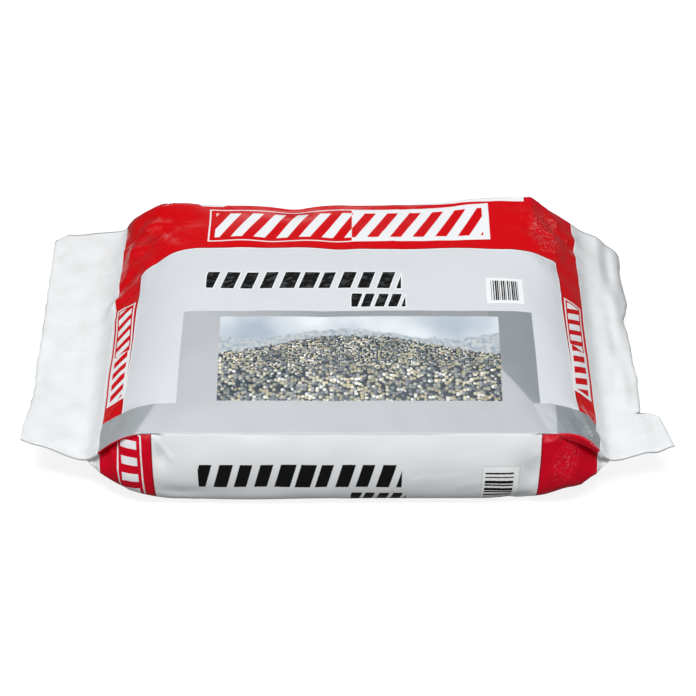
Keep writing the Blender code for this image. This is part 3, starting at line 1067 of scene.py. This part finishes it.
def side_print(x, side_x, side_y):
    """A gusset's colour; side_x runs along it and side_y down it from the top crease."""
    from_middle = abs(x + SIDE_SHIFT)
    # painted shade: the white greys towards the gusset's foot
    painted_shade_paper = paint(WHITE, PAPER_GREY, rise(side_y, *SIDE_PAINTED_SHADE))
    side = paint(CRIMSON, DEEP_RED, from_middle.below(SIDE_WHITE_HALF + 2 * KEYLINE))
    side = paint(side, painted_shade_paper, from_middle.below(SIDE_WHITE_HALF + KEYLINE))
    side = nested(side, side_x, side_y, SIDE_MARK, ((0.0, WHITE), (1.6, CRIMSON)))
    inner = within_box(side_x, side_y, grown(SIDE_MARK, -5.0))
    side = paint(side, WHITE, inner.least(stripes(side_y, side_x, 17.0, 0.5)))
    side = block_rows(side, side_x, side_y, SIDE_ROWS, BLACK)
    side = paint(side, SILVER, within_box(side_x, side_y, grown(SIDE_LABEL, 0.7)) * 0.6)
    side = paint(side, BRIGHT, within_box(side_x, side_y, SIDE_LABEL))
    code = bars(side_y, 4.6, 3.0).least(within_box(side_x, side_y, SIDE_BARS))
    return paint(side, BLACK, code)


def under_print(x, y):
    """The panel underneath, with thin broken lines."""
    under = paint(RED, WHITE, abs(x).below(UNDER_HALF))
    line = y / LINE_PITCH
    dashes = noise(point(x, line.whole() * 31.0), 0.09, 1.0).above(0.42, 0.02)
    lines = line.part().within(0.3, 0.45, 0.03).least(dashes).least(within_box(x, y, LINES_BOX))
    return paint(under, LINE_GREY, lines)


def rise(x, low, high, most):
    return x.ramp(low, high) * most


def hump(x, low, high, soft, most):
    return x.within(low, high, soft) * most


def gusset_mask(x, y):
    edge = PANEL_MM - rise(x, *BAND_SHORT) + hump(x, *BAND_OVER)
    front = (y - edge).above(0.0).least(y.below(PANEL_MM + GUSSET_MM))
    sliver = rise(x, *SLIVER) + hump(x, *LEFT_SLIVER) - SLIVER_KEEPS
    return front.most(y.above(ROUND_MM - GUSSET_MM)).most((sliver - y).above(0.0))


def printed_colours(x, y):
    """The print's colour and how much of it is silver ink."""
    turned = y.above(ROUND_MM * TURN_AT, 2.0)
    side_y = (y - PANEL_MM) * (1.0 - turned) + (ROUND_MM - y) * turned
    side_x = x * (1.0 - turned * 2.0)
    on_gusset = gusset_mask(x, y)
    on_back = y.within(PANEL_MM + GUSSET_MM, ROUND_MM - GUSSET_MM)
    face, silver = top_print(x, y)
    whole = paint(face, side_print(x, side_x, side_y), on_gusset)
    whole = paint(whole, under_print(x, y), on_back)
    return whole, silver * (1.0 - on_gusset) * (1.0 - on_back)


# The film's material

# Crushed film: height, turn, length and width of the facets, and seed
CRINKLES = (
    (1.1, 0.9, 44.0, 21.0, 3.0), (-0.8, -0.5, 36.0, 16.0, 17.0),
    (0.35, 1.9, 22.0, 10.0, 29.0), (-0.12, 0.4, 13.0, 6.0, 41.0),
)
# Where it is crushed: strength, place and size each way
CRUSHED = (
    (1.0, (-222.0, 45.0), (70.0, 85.0)), (1.0, (218.0, 40.0), (62.0, 75.0)),
    (1.0, (-248.0, 120.0), (34.0, 60.0)), (1.0, (-240.0, 310.0), (48.0, 40.0)),
    (1.0, (236.0, 308.0), (52.0, 44.0)), (0.7, (-225.0, 380.0), (45.0, 60.0)),
    (0.7, (222.0, 380.0), (45.0, 60.0)),
)
# Where its ink is cracked
SCUFFED = (
    (1.0, (210.0, 44.0), (24.0, 34.0)), (0.12, (-222.0, 62.0), (24.0, 30.0)),
    (0.15, (-238.0, 118.0), (14.0, 26.0)), (0.3, (214.0, 372.0), (18.0, 26.0)),
    (0.9, (242.0, 316.0), (16.0, 13.0)),
)
SPECKLED = ((243.0, 317.0), (18.0, 14.0))
RIDGES = (150.0, 420.0)  # bend in 1/m between which ridges are lightened: rubbed-off ink and painted highlight
VALLEYS = (30.0, 200.0)  # and between which valleys are darkened: dust and painted shade
RUBBED_AND_HIGHLIT = 0.07
DUST_AND_SHADE_SHARE = 0.24
SCUFFS = 0.55
GRAIN_HEIGHT = 0.03


def facets(x, y, turn, long_, wide, seed):
    """Facets that run mostly one way, with a crease between each two: from 0 to 1."""
    along = (x * math.cos(turn) + y * math.sin(turn)) / long_ + seed
    across = (y * math.cos(turn) - x * math.sin(turn)) / wide
    wandering = noise(point(along, across), 1.0, 1.0, 0.4, 0.6)
    return abs(wandering - 0.5).ramp(0.0, 0.22)


def near(x, y, place, size):
    """1 at a place of the film, falling to 0 at that distance from it each way."""
    across = (x - place[0]) / size[0]
    round_ = (y - place[1]) / size[1]
    return (1.0 - across * across - round_ * round_).most(0.0)


def strongest(x, y, zones):
    """The highest of some zones, each given by its strength, place and size each way."""
    first, *others = [near(x, y, place, size) * strength for strength, place, size in zones]
    for other in others:
        first = first.most(other)
    return first


def scuffs(x, y, flat):
    """Fine white lines where the ink cracked and rubbed off, in a few patches near the corners."""
    bent_x = x + noise(flat, 0.12) * 9.0
    bent_y = y * 0.6 + noise(flat, 0.10, 2.0, 0.7) * 9.0
    cracks = cells(point(bent_x, bent_y), 0.42, "DISTANCE_TO_EDGE")
    lines = Field(x.tree, cracks["Distance"]).ramp(0.06, 0.0)
    broken = noise(flat, 0.30, 3.0, 0.7).ramp(0.47, 0.60)
    return lines * strongest(x, y, SCUFFED).ramp(0.0, 0.7) * broken * SCUFFS


def film_skin(x, y, flat, bend):
    """The film's colour with its print, wear, dust, painted shade in its valleys and painted highlights on
    its ridges, and how much of it is silver ink.
    """
    ink, silver = printed_colours(x, y)
    cut_back = hump(y, *RIGHT_CUT) * x.above(0.0) + hump(y, *LEFT_CUT) * x.below(0.0)
    printed = (abs(x) + cut_back).below(PRINT_HALF)
    mottled = noise(flat, 0.045, 4.0, 0.6).ramp(0.42, 0.70)
    skin = paint(paint(MILKY, MILKY_SHADE, mottled * 0.6), ink, printed)
    skin = paint(skin, BRIGHT, abs(x).within(PRINT_HALF, PRINT_HALF + KEYLINE))
    # ridges lighter: partly rubbed-off ink, partly painted highlight
    rubbed_and_highlit = bend.ramp(*RIDGES) * noise(flat, 0.25, 3.0).ramp(0.40, 0.62)
    skin = paint(skin, WHITE, rubbed_and_highlit * RUBBED_AND_HIGHLIT)
    specks = noise(flat, 0.85, 1.0, 0.4).ramp(0.62, 0.68) * near(x, y, *SPECKLED).ramp(0.0, 0.5)
    skin = paint(skin, BRIGHT, specks * 0.8)
    skin = paint(skin, WHITE, scuffs(x, y, flat))
    # valleys darker: partly dust, partly painted shade
    return paint(skin, DUST_AND_SHADE, (bend * -1.0).ramp(*VALLEYS) * DUST_AND_SHADE_SHARE), silver * printed


def film_height(x, y, flat):
    """Small unevenness in millimetres: grain all over, and creased facets where it was crushed."""
    signed = y - y.above(ROUND_MM - GUSSET_MM * 0.6) * ROUND_MM
    crushed = strongest(x, signed, CRUSHED)
    crinkled = sum(facets(x, y, *facet) * height for height, *facet in CRINKLES)
    return noise(flat, 0.35, 3.0, 0.6) * GRAIN_HEIGHT + crinkled * (crushed * 0.38 + 0.05)


def new_material(name):
    material = bpy.data.materials.new(name)
    material.use_nodes = True
    return material, material.node_tree.nodes["Principled BSDF"]


def printed_film():
    material, shader = new_material("printed_film")
    tree = material.node_tree
    uv = tree.nodes.new("ShaderNodeUVMap")
    uv.uv_map = "film"
    parts = tree.nodes.new("ShaderNodeSeparateXYZ")
    feed(parts, {0: Field(tree, uv.outputs[0])})
    x = Field(tree, parts.outputs[0]) * MM
    y = Field(tree, parts.outputs[1]) * MM
    flat = point(x, y)
    attribute = tree.nodes.new("ShaderNodeAttribute")
    attribute.attribute_name = "bend"
    skin, silver = film_skin(x, y, flat, Field(tree, attribute.outputs["Fac"]))
    bump = tree.nodes.new("ShaderNodeBump")
    feed(bump, {"Strength": 1.0, "Distance": 0.001, "Height": film_height(x, y, flat)})
    feed(shader, {
        "Base Color": skin,
        "Metallic": silver * 0.10,
        "Roughness": noise(flat, 0.7) * 0.10 + 0.20 + silver * 0.20,
        "Specular IOR Level": 0.21,
        "Coat Weight": 0.08,
        "Coat Roughness": 0.12,
        "Normal": Field(tree, bump.outputs[0]),
    })
    return material


# The studio

ELEVATION = math.radians(47.5)
DISTANCE = 1.90
TARGET = Vector((0.0, -0.016, 0.047))
LENS = 95.8
LIT_PLACE = Vector((0.0, 0.0, 0.05))
FLOOR_HALF = 6.0
FLOOR_GREY = (0.32, 0.32, 0.32, 1.0)
FLOOR_GLOW = 0.80
ROOM_LIGHT = 0.16
PURE_WHITE = (1.0, 1.0, 1.0, 1.0)
# Name, place, size and power
LIGHTS = (
    ("top", (-0.15, -0.62, 2.2), (1.3, 0.55), 33.0),
    ("front", (0.1, -2.2, 1.35), (2.2, 0.5), 16.0),
    ("back", (-0.4, 0.55, 2.3), (1.8, 0.5), 13.0),
    ("low_back", (0.0, 2.8, 0.75), (2.6, 0.3), 7.5),
    ("left", (-1.9, -0.2, 1.3), (0.5, 1.3), 2.5),
    ("right", (1.9, 0.7, 1.2), (0.5, 1.2), 6.0),
)


def add_camera():
    data = bpy.data.cameras.new("camera")
    data.lens = LENS
    camera = new_object("camera", data)
    back = Vector((0.0, -math.cos(ELEVATION), math.sin(ELEVATION)))
    camera.location = TARGET + DISTANCE * back
    camera.rotation_euler = back.to_track_quat("Z", "Y").to_euler()
    bpy.context.scene.camera = camera


def add_light(name, place, size, power):
    data = bpy.data.lights.new(name, "AREA")
    data.shape = "RECTANGLE"
    data.size, data.size_y = size
    data.energy = power
    light = new_object(name, data)
    light.location = place
    light.rotation_euler = (Vector(place) - LIT_PLACE).to_track_quat("Z", "Y").to_euler()


def add_floor():
    """A plain white floor, which sends no light back on the sack."""
    mesh = bpy.data.meshes.new("floor")
    corners = [(FLOOR_HALF * x, FLOOR_HALF * y, 0.0) for x, y in ((-1, -1), (1, -1), (1, 1), (-1, 1))]
    mesh.from_pydata(corners, [], [(0, 1, 2, 3)])
    floor = new_object("floor", mesh)
    material, shader = new_material("floor")
    feed(shader, {"Base Color": FLOOR_GREY, "Roughness": 0.9, "Emission Color": PURE_WHITE,
                  "Emission Strength": FLOOR_GLOW})
    mesh.materials.append(material)
    floor.visible_diffuse = False
    floor.visible_glossy = False


def add_studio():
    add_floor()
    for light in LIGHTS:
        add_light(*light)
    world = bpy.data.worlds.new("studio")
    world.use_nodes = True
    feed(world.node_tree.nodes["Background"], {"Color": PURE_WHITE, "Strength": ROOM_LIGHT})
    bpy.context.scene.world = world
    bpy.context.scene.view_settings.view_transform = "Standard"


places, a = film_places()
sack = build_film(places, a)
sack.data.materials.append(printed_film())
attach(sack, "root")
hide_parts("filled_sack")
add_studio()
add_camera()
